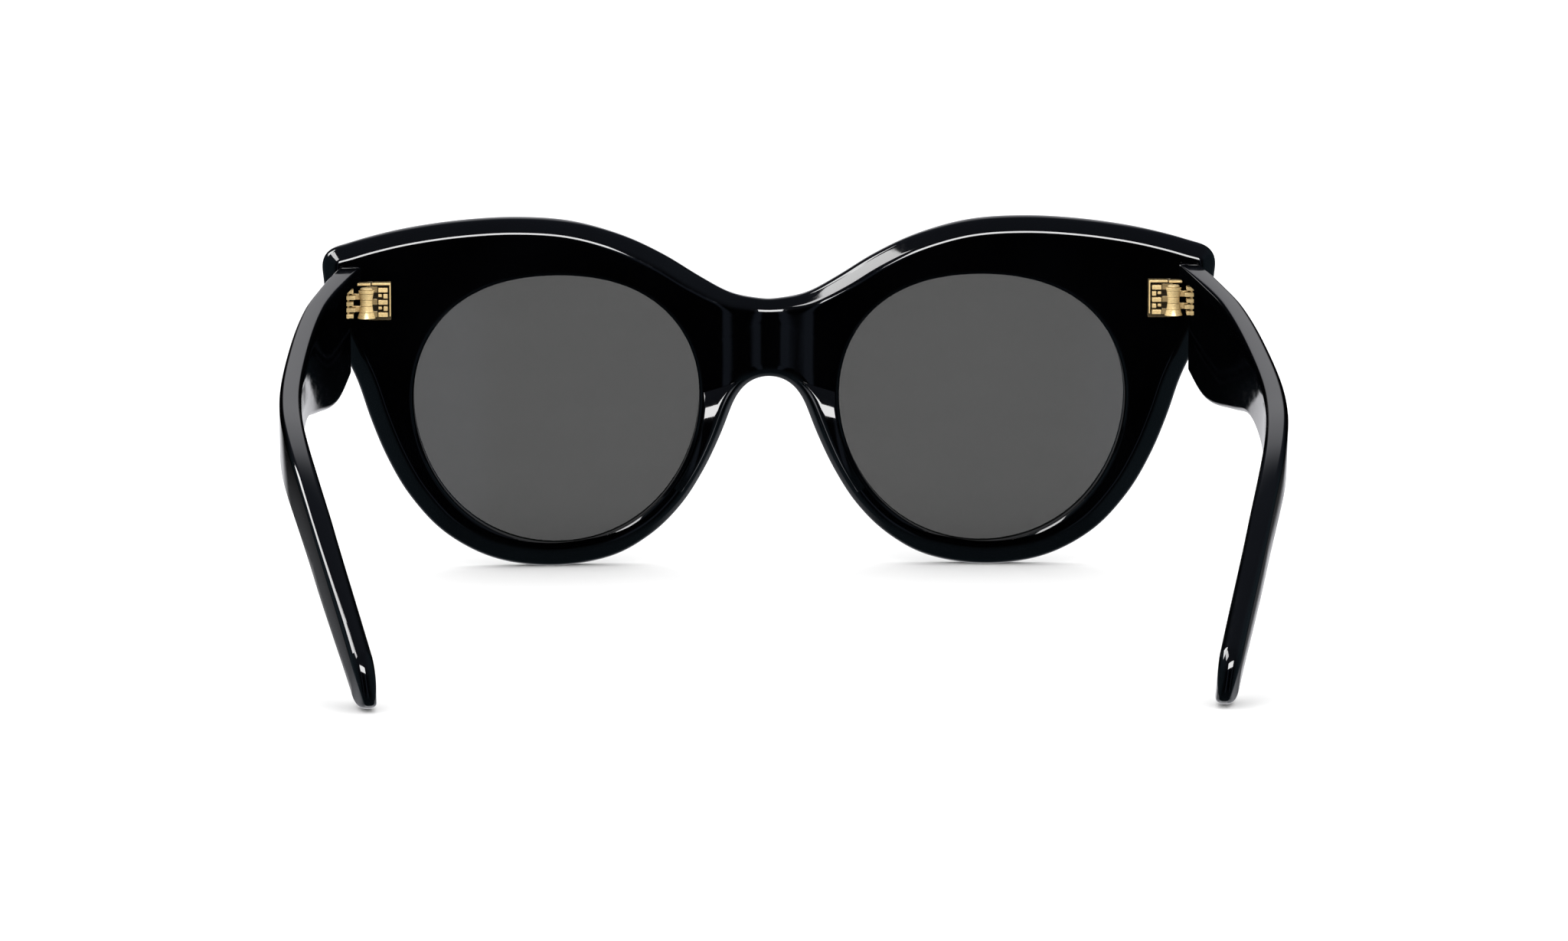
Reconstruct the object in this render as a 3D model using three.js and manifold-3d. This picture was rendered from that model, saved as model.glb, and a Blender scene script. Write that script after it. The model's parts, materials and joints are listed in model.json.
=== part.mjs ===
// Cat eye sunglasses: black acetate front and temples, grey lenses and gold five-barrel hinges.
//
// Millimetres. +X is the wearer's left, +Y runs back along the temples and +Z is up. The glasses stand
// open on their two rims and their two temple tips. Inside this file, y = 0 is the rear face of the front
// above the middle of a lens, and the whole group is moved forward at the end so that the origin lies on
// the floor below the middle of the glasses. Left-hand pieces are made first and mirrored to the right.

import * as THREE from 'three';
import { mergeVertices } from 'three/addons/utils/BufferGeometryUtils.js';
import Module from 'manifold-3d';

const wasm = await Module();
wasm.setup();

// ---- Driving dimensions -----------------------------------------------------------------------------

// Front
const FRONT_THICKNESS = 5.0;
const BASE_CURVE_RADIUS = 600;       // plan curvature of the front, seen from above
const DATUM_X = 35.3;                // the front's rear face is at y = 0 here
const FRONT_EDGE_ROUND = 0.9;        // round on the front face's outer edge
const BEVEL_DEPTH = 2.4;             // how far the rear bevel reaches forward
const BEVEL_BROW = 1.9;              // width of the rear bevel along the brow
const BEVEL_RIM = 3.0;               // and round the outside and bottom of the rim
const BEVEL_NOSE = 1.7;              // and on the side of the nose
const BRIDGE_SCOOP = 1.3;            // depth of the hollow behind the bridge
const BRIDGE_SCOOP_HALF = 9.0;

// Lens and the opening in front of it
const LENS_CENTRE = new THREE.Vector2(35.3, 26.5);
const LENS_RADIUS = 23.3;
const LENS_CURVE_RADIUS = 265;
const LENS_THICKNESS = 2.0;
const LENS_DEPTH = -3.1;             // rear face of the lens at its middle
const GROOVE_DEPTH = 1.0;            // how far the lens edge sits inside the rim
const GROOVE_GAP = 0.1;
const MOUTH_CHAMFER_REAR = 0.4;      // on the opening's edge at the rear face
const MOUTH_CHAMFER_FRONT = 0.5;     // and at the front face

// Nose pad
const PAD_HEIGHT = 3.6;
const PAD_TOP_Z = 28.6;
const PAD_BOTTOM_Z = 9.0;
const PAD_END_HEIGHT = 0.35;         // how high the pad still is at its two ends
const PAD_MOUTH_SETBACK = 0.6;       // from the lens opening's edge to the pad
const GLUE_GAP = 0.1;

// Temple
const TEMPLE_THICKNESS = 3.5;
const TEMPLE_EDGE_ROUND = 1.1;
const TIP_LENGTH = 5.6;              // the round end of the tip
const TIP_ANGLES = [20, 40, 58, 74]; // degrees round the tip at which it has a rung
const TIP_THINNING = 0.35;
const TEMPLE_STEPS = 30;             // from the butt to the start of the round tip
const WIRE_STEPS = 28;               // how many of them the core wire follows
const WIRE_RADIUS = 0.65;
const WIRE_GAP = 0.1;

// Hinge
const HINGE_AXIS = new THREE.Vector3(66.6, 5.9, 44.6);
const BARREL_RADIUS = 1.55;
const BARREL_PITCH = 1.02;
const BARREL_SIDE_GAP = 0.04;
const SCREW_RADIUS = 0.6;
const SCREW_GAP = 0.05;
const BARREL_ROWS = 5;
const LEAF_HEIGHT = 6.2;
const LEAF_GAP = 0.1;
const FRONT_PLATE_X = [-4.0, -0.2];  // front leaf's plate in its pocket, measured from the hinge axis
const FRONT_PLATE_Y = [-4.1, -2.9];
const FRONT_WEB_X = -3.7;            // lens side of the front leaf's webs
const FRONT_WEB_Y = [-3.2, -1.4];
const TEMPLE_PLATE_START = 1.5;      // temple leaf's plate, measured back from the hinge axis
const TEMPLE_PLATE_LENGTH = 9.5;
const TEMPLE_PLATE_HEIGHT = 5.4;
const TEMPLE_PLATE_THICKNESS = 1.1;
const TEMPLE_PLATE_SUNK = 0.7;       // how deep it lies in the temple
const SCREW_HEAD_RADIUS = 1.15;
const SCREW_SLOT_WIDTH = 0.3;

const FRONT_TO_ORIGIN = 67.2;        // from y = 0 here back to the middle of the glasses

// ---- Materials --------------------------------------------------------------------------------------

const material = (color, roughness, metalness) =>
  new THREE.MeshStandardMaterial({ color, roughness, metalness });
const acetate = () => material(0x08090c, 0.08, 0);
const gold = () => material(0xd9b262, 0.18, 1);
const steel = () => material(0xb9b6ae, 0.3, 1);

function tintedLens() {
  const lens = material(0x5a5b5a, 0.03, 0);
  lens.transparent = true;
  lens.opacity = 0.82;
  return lens;
}

// ---- Curves -----------------------------------------------------------------------------------------

const point = (x, y) => new THREE.Vector2(x, y);
const points = (list) => list.map(([x, y]) => point(x, y));
const ramp = (value, from, to) => THREE.MathUtils.smoothstep((value - from) / (to - from), 0, 1);

// Half of the front's outline in X and Z, from the top of the bridge out over the brow, round the end
// piece, down the rim and up beside the nose to the underside of the bridge.
const BROW = points([
  [0, 44.3], [6, 45.4], [11.5, 48.3], [17.5, 52.0], [24.5, 55.3],
  [33, 57.7], [42, 58.4], [51, 58.0], [59.5, 56.9], [66, 55.5], [70.5, 54.2],
]);
const END_PIECE = points([[70.5, 54.2], [74.0, 53.2], [73.8, 49.2]]);
const RIM = points([
  [73.8, 49.2], [73.1, 43.2], [71.0, 37.4], [68.3, 31.5], [66.2, 25.2], [63.5, 18.6],
  [59.7, 12.0], [53.9, 5.7], [45.7, 1.3], [36.0, -0.1], [26.6, 1.3],
  [19.8, 5.0], [14.7, 10.0], [11.0, 15.7], [8.2, 21.5], [6.3, 26.4],
]);
const BRIDGE_ARCH = points([[6.3, 26.4], [4.9, 30.0], [2.8, 31.5], [0, 31.5]]);

function frontOutline() {
  const runs = [
    new THREE.SplineCurve(BROW).getPoints(18),
    new THREE.QuadraticBezierCurve(...END_PIECE).getPoints(4),
    new THREE.SplineCurve(RIM).getPoints(38),
    new THREE.CubicBezierCurve(...BRIDGE_ARCH).getPoints(5),
  ];
  return runs.flatMap((run, index) => (index ? run.slice(1) : run));
}

// Unit normals that point into the front. They are smoothed, so that they fan out evenly at a tight corner,
// and the outline's two ends mirror across the middle of the bridge.
function inwardNormals(outline) {
  const last = outline.length - 1;
  const mirrored = (p) => point(-p.x, p.y);
  const at = (list, i) => {
    if (i < 0) return mirrored(list[-i]);
    if (i > last) return mirrored(list[2 * last - i]);
    return list[i];
  };
  let normals = outline.map((_, i) => {
    const along = at(outline, i + 1).clone().sub(at(outline, i - 1));
    return point(along.y, -along.x).normalize();
  });
  for (let pass = 0; pass < 4; pass += 1) {
    normals = normals.map((n, i) =>
      n.clone().add(at(normals, i - 1)).add(at(normals, i + 1)).normalize());
  }
  return normals;
}

// The lens opening is round, a little wider than high and fuller at its two upper corners.
function openingRadius(angle) {
  return LENS_RADIUS + 0.47 * Math.sin(angle) + 0.55 * Math.cos(2 * angle)
    + 0.57 * Math.sin(3 * angle) - 0.24 * Math.cos(4 * angle);
}

function openingPoint(angle, offset) {
  const radius = openingRadius(angle) + offset;
  return point(Math.cos(angle), Math.sin(angle)).multiplyScalar(radius).add(LENS_CENTRE);
}

// ---- Surfaces ---------------------------------------------------------------------------------------

const baseCurve = (x) => (x * x - DATUM_X * DATUM_X) / (2 * BASE_CURVE_RADIUS);

function bridgeScoop(x) {
  const t = Math.min(Math.abs(x) / BRIDGE_SCOOP_HALF, 1);
  return BRIDGE_SCOOP * 0.5 * (1 + Math.cos(Math.PI * t));
}

// A point of the front: x and z in its outline, depth measured back from its rear face. The hollow
// behind the bridge fades out towards the front face.
function onFront(p, depth) {
  const fade = Math.min(1, 1 + depth / FRONT_THICKNESS);
  return new THREE.Vector3(p.x, baseCurve(p.x) + depth - fade * bridgeScoop(p.x), p.y);
}

function strip(triangles, first, second, closed) {
  const count = closed ? first.length : first.length - 1;
  for (let i = 0; i < count; i += 1) {
    const j = (i + 1) % first.length;
    triangles.push([first[i], first[j], second[j]], [first[i], second[j], second[i]]);
  }
}

function fan(triangles, ring, centre) {
  ring.forEach((p, i) => triangles.push([p, ring[(i + 1) % ring.length], centre]));
}

const centreOf = (ring) => ring.reduce((sum, p) => sum.add(p), new THREE.Vector3())
  .divideScalar(ring.length);

// A closed geometry from triangles, facing out.
function geometryOf(triangles) {
  const position = triangles.flat().flatMap((p) => [p.x, p.y, p.z]);
  const soup = new THREE.BufferGeometry();
  soup.setAttribute('position', new THREE.Float32BufferAttribute(position, 3));
  const merged = withoutSlivers(mergeVertices(soup, 1e-4));
  return signedVolume(merged) < 0 ? turnedInsideOut(merged) : merged;
}

function withoutSlivers(geometry) {
  const index = [];
  const corners = geometry.index.array;
  for (let i = 0; i < corners.length; i += 3) {
    const [a, b, c] = corners.slice(i, i + 3);
    if (a !== b && b !== c && c !== a) index.push(a, b, c);
  }
  geometry.setIndex(index);
  return geometry;
}

function signedVolume(geometry) {
  const position = geometry.attributes.position;
  const corners = geometry.index.array;
  const [a, b, c] = [new THREE.Vector3(), new THREE.Vector3(), new THREE.Vector3()];
  let volume = 0;
  for (let i = 0; i < corners.length; i += 3) {
    a.fromBufferAttribute(position, corners[i]);
    b.fromBufferAttribute(position, corners[i + 1]);
    c.fromBufferAttribute(position, corners[i + 2]);
    volume += a.dot(b.cross(c)) / 6;
  }
  return volume;
}

function turnedInsideOut(geometry) {
  const index = Array.from(geometry.index.array);
  for (let i = 0; i < index.length; i += 3) {
    [index[i], index[i + 1]] = [index[i + 1], index[i]];
  }
  const turned = geometry.clone();
  turned.setIndex(index);
  return turned;
}

// Only the positions, with shared vertices merged.
function bare(geometry) {
  const copy = geometry.clone();
  copy.deleteAttribute('normal');
  copy.deleteAttribute('uv');
  return withoutSlivers(mergeVertices(copy, 1e-5));
}

// The same piece on the other side of the glasses.
function mirrored(geometry) {
  return turnedInsideOut(bare(geometry).scale(-1, 1, 1));
}

// ---- Booleans ---------------------------------------------------------------------------------------

function solidOf(geometry) {
  const merged = bare(geometry);
  return new wasm.Manifold(new wasm.Mesh({
    numProp: 3,
    vertProperties: new Float32Array(merged.attributes.position.array),
    triVerts: new Uint32Array(merged.index.array),
  }));
}

function geometryOfSolid(solid) {
  const mesh = solid.getMesh();
  const geometry = new THREE.BufferGeometry();
  geometry.setAttribute('position', new THREE.Float32BufferAttribute(mesh.vertProperties, 3));
  geometry.setIndex(Array.from(mesh.triVerts));
  return geometry;
}

function cut(geometry, ...tools) {
  const solid = tools.reduce((left, tool) => left.subtract(solidOf(tool)), solidOf(geometry));
  return geometryOfSolid(solid);
}

function joined(...geometries) {
  const [first, ...rest] = geometries.map(solidOf);
  return geometryOfSolid(rest.reduce((left, right) => left.add(right), first));
}

function box(low, high) {
  const size = high.map((value, i) => value - low[i]);
  const centre = high.map((value, i) => (value + low[i]) / 2);
  return new THREE.BoxGeometry(...size).translate(...centre);
}

// Everything below the floor. It leaves a small flat under each rim and each tip, where they rest.
function belowFloor() {
  return box([-100, -50, -10], [100, 200, 0]);
}

// ---- Front ------------------------------------------------------------------------------------------

// Width of the rear bevel at a point of the outline.
function bevelWidth(p) {
  const outer = THREE.MathUtils.lerp(BEVEL_RIM, BEVEL_BROW, ramp(p.y, 34, 50));
  const towardNose = ramp(p.x, 30, 12) * ramp(p.y, 50, 40);
  return THREE.MathUtils.lerp(outer, BEVEL_NOSE, towardNose);
}

function frontHalf() {
  const outline = frontOutline();
  const normals = inwardNormals(outline);
  const edge = (inset, depth) => outline.map((p, i) =>
    onFront(p.clone().addScaledVector(normals[i], inset(p)), depth));
  const triangles = [];

  // Rear bevel, outer wall and front round, as a strip that ends at the middle of the bridge.
  const turns = [0, 45, 90].map(THREE.MathUtils.degToRad);
  const rearRings = turns.map((a) =>
    edge((p) => bevelWidth(p) * (1 - Math.sin(a)), BEVEL_DEPTH * (Math.cos(a) - 1)));
  const frontRings = [0, 90].map(THREE.MathUtils.degToRad).map((a) =>
    edge(() => FRONT_EDGE_ROUND * (1 - Math.cos(a)),
      -FRONT_THICKNESS + FRONT_EDGE_ROUND * (1 - Math.sin(a))));
  const rings = [...rearRings, ...frontRings];
  rings.slice(1).forEach((ring, i) => strip(triangles, rings[i], ring, false));

  // Rear and front faces, between the lens opening and the strip, closed along the bridge's middle.
  const rearEdge = withSeam(rearRings[0]);
  const frontEdge = withSeam(frontRings[1]);
  const opening = (offset, depth) => rearEdge.map((p) =>
    onFront(openingPoint(angleAt(p), offset), depth));
  const rearMouth = opening(MOUTH_CHAMFER_REAR, 0);
  const frontMouth = opening(MOUTH_CHAMFER_FRONT, -FRONT_THICKNESS);
  face(triangles, rearEdge, rearMouth, 0);
  face(triangles, frontMouth, frontEdge, -FRONT_THICKNESS);

  // Wall of the lens opening.
  const wallStart = opening(0, -MOUTH_CHAMFER_REAR);
  const wallEnd = opening(0, MOUTH_CHAMFER_FRONT - FRONT_THICKNESS);
  const wall = [rearMouth, wallStart, wallEnd, frontMouth];
  wall.slice(1).forEach((ring, i) => strip(triangles, ring, wall[i], true));
  return triangles;
}

const angleAt = (p) => Math.atan2(p.z - LENS_CENTRE.y, p.x - LENS_CENTRE.x);

// The ring closed by points up the middle of the bridge.
function withSeam(ring) {
  const from = ring[ring.length - 1];
  const to = ring[0];
  const seam = [0.25, 0.5, 0.75].map((t) => from.clone().lerp(to, t));
  return [...ring, ...seam];
}

// A face of the front, in two bands that follow its curve.
function face(triangles, outer, inner, depth) {
  const middle = outer.map((p, i) => {
    const between = p.clone().lerp(inner[i], 0.5);
    return onFront(point(between.x, between.z), depth);
  });
  strip(triangles, middle, outer, true);
  strip(triangles, inner, middle, true);
}

// The lens, or a larger one that cuts its groove.
function lensDisc(grow) {
  const steps = 48;
  const half = LENS_THICKNESS / 2 + grow;
  const ring = (fraction, side) => Array.from({ length: steps }, (_, i) => {
    const angle = (i / steps) * 2 * Math.PI;
    const reach = fraction * (openingRadius(angle) + GROOVE_DEPTH + grow);
    return onLens(reach * Math.cos(angle), reach * Math.sin(angle), side * half);
  });
  const triangles = [];
  const rings = [ring(0.35, 1), ring(0.7, 1), ring(1, 1), ring(1, -1), ring(0.7, -1), ring(0.35, -1)];
  rings.slice(1).forEach((next, i) => strip(triangles, rings[i], next, true));
  fan(triangles, [...rings[0]].reverse(), onLens(0, 0, half));
  fan(triangles, rings[5], onLens(0, 0, -half));
  return geometryOf(triangles);
}

function onLens(x, z, side) {
  const sag = (x * x + z * z) / (2 * LENS_CURVE_RADIUS);
  const middle = LENS_DEPTH - LENS_THICKNESS / 2;
  const across = LENS_CENTRE.x + x;
  return new THREE.Vector3(across, baseCurve(across) + middle + sag + side, LENS_CENTRE.y + z);
}

function frontFrame() {
  const half = frontHalf();
  const other = half.map((triangle) =>
    [...triangle].reverse().map((p) => new THREE.Vector3(-p.x, p.y, p.z)));
  const blank = geometryOf([...half, ...other]);
  const leftTools = [lensDisc(GROOVE_GAP), frontLeafFoot(LEAF_GAP)];
  return cut(blank, belowFloor(), ...leftTools, ...leftTools.map(mirrored));
}

// A pad bonded to the rear face beside the nose: highest halfway down and fading out at both ends.
function nosePad() {
  const outline = frontOutline();
  const normals = inwardNormals(outline);
  const stations = outline.map((p, i) => ({ p, n: normals[i] }))
    .filter(({ p }) => p.x < 20 && p.y < PAD_TOP_Z && p.y > PAD_BOTTOM_Z);
  const sections = stations.map(({ p, n }) => {
    const t = (p.y - PAD_BOTTOM_Z) / (PAD_TOP_Z - PAD_BOTTOM_Z);
    const height = PAD_END_HEIGHT + PAD_HEIGHT * Math.sin(Math.PI * t);
    const outer = p.clone().addScaledVector(n, bevelWidth(p));
    const angle = Math.atan2(p.y - LENS_CENTRE.y, p.x - LENS_CENTRE.x);
    const inner = openingPoint(angle, PAD_MOUTH_SETBACK);
    const across = (f, rise) => onFront(inner.clone().lerp(outer, f), rise);
    return [across(0, GLUE_GAP), across(0.12, 0.3 * height), across(0.5, 0.9 * height),
      across(0.85, height), across(1, 0.75 * height), across(1, GLUE_GAP)];
  });
  return loft(sections);
}

// A closed solid through equal rings, with a fan over each end.
function loft(sections) {
  const triangles = [];
  sections.slice(1).forEach((next, i) => strip(triangles, sections[i], next, true));
  const first = sections[0];
  const last = sections[sections.length - 1];
  fan(triangles, [...first].reverse(), centreOf(first));
  fan(triangles, last, centreOf(last));
  return geometryOf(triangles);
}

// ---- Temple -----------------------------------------------------------------------------------------

// Upper and lower edge in Y and Z, from the butt to the tip. The blade is deep behind the hinge, slims to
// a shaft and bends down behind the ear.
const UPPER_EDGE = new THREE.SplineCurve(points([
  [3.5, 51.0], [16, 48.8], [34, 45.6], [54, 42.0], [73, 38.6], [88, 35.8],
  [99, 32.6], [109.5, 27.5], [120.5, 21.0], [131.5, 13.8], [138.7, 8.8],
]));
const LOWER_EDGE = new THREE.SplineCurve(points([
  [3.5, 33.2], [14, 29.5], [33, 30.6], [52, 32.0], [71, 29.2], [85.5, 26.3],
  [94.5, 23.2], [103.5, 18.4], [114, 12.0], [125, 5.2], [132.2, 0.9],
]));

// The outer side in plan, as X against Y: it bows out from the end piece and turns in towards the tip.
const OUTER_SIDE = new THREE.SplineCurve(points([
  [-20, 67.6], [3, 72.6], [27, 76.4], [51, 77.8], [73, 77.9], [92, 76.2], [112, 71.8], [133, 66.4],
  [152, 61.6],
]));

function outerSide(y) {
  let low = 0;
  let high = 1;
  for (let i = 0; i < 24; i += 1) {
    const middle = (low + high) / 2;
    if (OUTER_SIDE.getPoint(middle).x < y) low = middle;
    else high = middle;
  }
  const at = OUTER_SIDE.getPoint(low);
  const along = OUTER_SIDE.getTangent(low);
  return { x: at.y, normal: new THREE.Vector3(along.x, -along.y, 0) };
}

// A point of the temple: y and z in its side view, and depth measured in from its outer side. Points on
// one rung share its station, the y of the rung's middle, because the temple is bent across the rungs.
function onTemple(p, depth, station) {
  const { x, normal } = outerSide(station);
  return new THREE.Vector3(x, p.x, p.y).addScaledVector(normal, -depth);
}

// Pairs of upper and lower points from the butt to the end of the round tip, each with its share of the
// full thickness.
function templeRungs() {
  const rungs = [];
  for (let i = 0; i <= TEMPLE_STEPS; i += 1) {
    const t = i / TEMPLE_STEPS;
    rungs.push({ upper: UPPER_EDGE.getPoint(t), lower: LOWER_EDGE.getPoint(t), thin: 1 });
  }
  const { upper, lower } = rungs[TEMPLE_STEPS];
  const middle = upper.clone().lerp(lower, 0.5);
  const half = upper.clone().sub(middle);
  const ahead = point(half.y, -half.x).normalize();
  for (const degrees of TIP_ANGLES) {
    const a = THREE.MathUtils.degToRad(degrees);
    const base = middle.clone().addScaledVector(ahead, TIP_LENGTH * Math.sin(a));
    rungs.push({
      upper: base.clone().addScaledVector(half, Math.cos(a)),
      lower: base.clone().addScaledVector(half, -Math.cos(a)),
      thin: 1 - TIP_THINNING * (1 - Math.cos(a)),
    });
  }
  return rungs;
}

// A rounded rectangle between the two points of a rung.
function templeSection({ upper, lower, thin }) {
  const halfHeight = upper.distanceTo(lower) / 2;
  const halfWidth = (TEMPLE_THICKNESS * thin) / 2;
  const round = Math.min(TEMPLE_EDGE_ROUND, halfHeight * 0.8);
  const middle = upper.clone().lerp(lower, 0.5);
  const up = upper.clone().sub(middle).normalize();
  const ring = [];
  for (let quarter = 0; quarter < 4; quarter += 1) {
    const signW = quarter === 0 || quarter === 3 ? 1 : -1;
    const signH = quarter < 2 ? 1 : -1;
    for (const step of [0, 45, 90]) {
      const a = THREE.MathUtils.degToRad(quarter * 90 + step);
      const w = signW * (halfWidth - round) + round * Math.cos(a);
      const h = signH * (halfHeight - round) + round * Math.sin(a);
      const p = middle.clone().addScaledVector(up, h);
      ring.push(onTemple(p, TEMPLE_THICKNESS / 2 - w, middle.x));
    }
  }
  return ring;
}

// The core wire's route down the middle of the temple, clear of the hinge.
function wireRoute() {
  const rungs = templeRungs().slice(0, WIRE_STEPS + 1);
  return new THREE.CatmullRomCurve3(rungs.map(({ upper, lower }, i) => {
    const share = THREE.MathUtils.lerp(0.66, 0.5, ramp(i / WIRE_STEPS, 0.1, 0.5));
    return onTemple(upper.clone().lerp(lower, share), TEMPLE_THICKNESS / 2, (upper.x + lower.x) / 2);
  }));
}

// A round rod with eight sides along a route.
function rod(radius, route) {
  const section = new THREE.Shape();
  section.absarc(0, 0, radius, 0, 2 * Math.PI);
  return new THREE.ExtrudeGeometry(section, {
    extrudePath: route, steps: 32, curveSegments: 4, bevelEnabled: false,
  });
}

// The wire starts a little way inside the butt. Its channel is longer at both ends, and open at the butt.
function coreWire() {
  const route = wireRoute().getSpacedPoints(60).slice(1, 60);
  return rod(WIRE_RADIUS, new THREE.CatmullRomCurve3(route));
}

function wireChannel() {
  const route = wireRoute().getSpacedPoints(60);
  const out = route[0].clone().sub(route[1]).normalize().multiplyScalar(3).add(route[0]);
  return rod(WIRE_RADIUS + WIRE_GAP, new THREE.CatmullRomCurve3([out, ...route]));
}

function temple() {
  const blade = loft(templeRungs().map(templeSection));
  return cut(blade, belowFloor(), wireChannel(), templeLeafFoot(LEAF_GAP));
}

// ---- Hinge ------------------------------------------------------------------------------------------

// Shapes below are drawn in plan about the hinge axis and extruded upwards.
function slab(shape, zLow, zHigh) {
  return new THREE.ExtrudeGeometry(shape, {
    depth: zHigh - zLow, bevelEnabled: false, curveSegments: 8,
  }).translate(HINGE_AXIS.x, HINGE_AXIS.y, zLow);
}

function planShape(list) {
  return new THREE.Shape(points(list));
}

function barrelRow(row) {
  const base = HINGE_AXIS.z + (row - BARREL_ROWS / 2) * BARREL_PITCH;
  return [base + BARREL_SIDE_GAP / 2, base + BARREL_PITCH - BARREL_SIDE_GAP / 2];
}

function screwHole() {
  return new THREE.Path().absarc(0, 0, SCREW_RADIUS + SCREW_GAP, 0, 2 * Math.PI, true);
}

// The front leaf's plate, or with some growth the pocket that it lies in. The pocket runs out through
// the front's rear face.
function frontLeafFoot(grow) {
  const half = LEAF_HEIGHT / 2 + grow;
  const low = [FRONT_PLATE_X[0] - grow, FRONT_PLATE_Y[0] - grow, -half];
  const high = [FRONT_PLATE_X[1] + grow, FRONT_PLATE_Y[1] + 3 * grow, half];
  return box(low, high).translate(HINGE_AXIS.x, HINGE_AXIS.y, HINGE_AXIS.z);
}

function frontLeafBarrel() {
  const shape = new THREE.Shape();
  shape.moveTo(-0.4, FRONT_WEB_Y[0]);
  shape.absarc(0, 0, BARREL_RADIUS, -1.1, 2.11, false);
  shape.lineTo(FRONT_WEB_X, FRONT_WEB_Y[1]);
  shape.lineTo(FRONT_WEB_X, FRONT_WEB_Y[0]);
  shape.holes.push(screwHole());
  return shape;
}

function frontLeafBlock() {
  const [front, rear] = [FRONT_WEB_Y[0], FRONT_WEB_Y[1] - 0.2];
  const inner = FRONT_WEB_X + 1.5;
  return planShape([[FRONT_WEB_X, front], [inner, front], [inner, rear], [FRONT_WEB_X, rear]]);
}

// Three barrels with their webs on one plate, and two short blocks between the webs.
function frontLeaf() {
  const barrels = [0, 2, 4].map((row) => slab(frontLeafBarrel(), ...barrelRow(row)));
  const blocks = [1, 3].map((row) => slab(frontLeafBlock(), ...barrelRow(row)));
  return joined(frontLeafFoot(0), ...barrels, ...blocks);
}

function templeLeafBarrel() {
  const shape = new THREE.Shape();
  shape.moveTo(3.3, 2.4);
  shape.lineTo(3.75, 4.3);
  shape.lineTo(2.6, 4.3);
  shape.lineTo(0.2, 1.54);
  shape.absarc(0, 0, BARREL_RADIUS, 1.7, -0.9, false);
  shape.holes.push(screwHole());
  return shape;
}

// The temple leaf's plate is sunk in the temple's inner side, and turned to lie along it.
function templeLeafFoot(grow) {
  const y = HINGE_AXIS.y + TEMPLE_PLATE_START + TEMPLE_PLATE_LENGTH / 2;
  const { x, normal } = outerSide(y);
  const size = [TEMPLE_PLATE_THICKNESS, TEMPLE_PLATE_LENGTH, TEMPLE_PLATE_HEIGHT];
  const plate = new THREE.BoxGeometry(...size.map((value) => value + 2 * grow));
  plate.rotateZ(Math.atan2(normal.y, normal.x));
  const depth = TEMPLE_THICKNESS - TEMPLE_PLATE_SUNK + TEMPLE_PLATE_THICKNESS / 2;
  const middle = new THREE.Vector3(x, y, HINGE_AXIS.z).addScaledVector(normal, -depth);
  return plate.translate(middle.x, middle.y, middle.z);
}

function templeLeaf() {
  const barrels = [1, 3].map((row) => slab(templeLeafBarrel(), ...barrelRow(row)));
  return joined(templeLeafFoot(0), ...barrels);
}

// A slotted screw down through the five barrels.
function hingeScrew() {
  const top = (BARREL_ROWS / 2) * BARREL_PITCH;
  const bottom = 0.1 - top;
  const head = top + SCREW_GAP;
  const profile = points([
    [0, bottom], [SCREW_RADIUS, bottom], [SCREW_RADIUS, head], [SCREW_HEAD_RADIUS, head],
    [SCREW_HEAD_RADIUS, head + 0.35], [SCREW_HEAD_RADIUS - 0.25, head + 0.55], [0, head + 0.55],
  ]);
  const screw = new THREE.LatheGeometry(profile, 16).rotateX(Math.PI / 2);
  const half = SCREW_SLOT_WIDTH / 2;
  const slot = box([-2, -half, head + 0.3], [2, half, head + 1]);
  return cut(screw, slot).translate(HINGE_AXIS.x, HINGE_AXIS.y, HINGE_AXIS.z);
}

// ---- Assembly ---------------------------------------------------------------------------------------

const glasses = new THREE.Group();
glasses.position.y = -FRONT_TO_ORIGIN;

function add(name, geometry, finish) {
  geometry.computeVertexNormals();
  const piece = new THREE.Mesh(geometry, finish);
  piece.name = name;
  glasses.add(piece);
}

function addPair(name, geometry, finish) {
  add(`${name}_left`, geometry, finish());
  add(`${name}_right`, mirrored(geometry), finish());
}

add('front_frame', frontFrame(), acetate());
addPair('nose_pad', nosePad(), acetate);
addPair('lens', lensDisc(0), tintedLens);
addPair('temple', temple(), acetate);
addPair('core_wire', coreWire(), steel);
addPair('front_hinge_leaf', frontLeaf(), gold);
addPair('temple_hinge_leaf', templeLeaf(), gold);
addPair('hinge_screw', hingeScrew(), gold);

export default glasses;
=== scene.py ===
"""The looks of the cat eye sunglasses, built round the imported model.

The glasses stand open on a pale floor and are seen from behind. Shapes are worked out in millimetres in
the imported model's own axes, with y = 0 at the rear face of the front above the middle of a lens, and
turned into metres when a mesh is made. Left-hand pieces are made first and mirrored to the right.
"""

import json
import math

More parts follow.
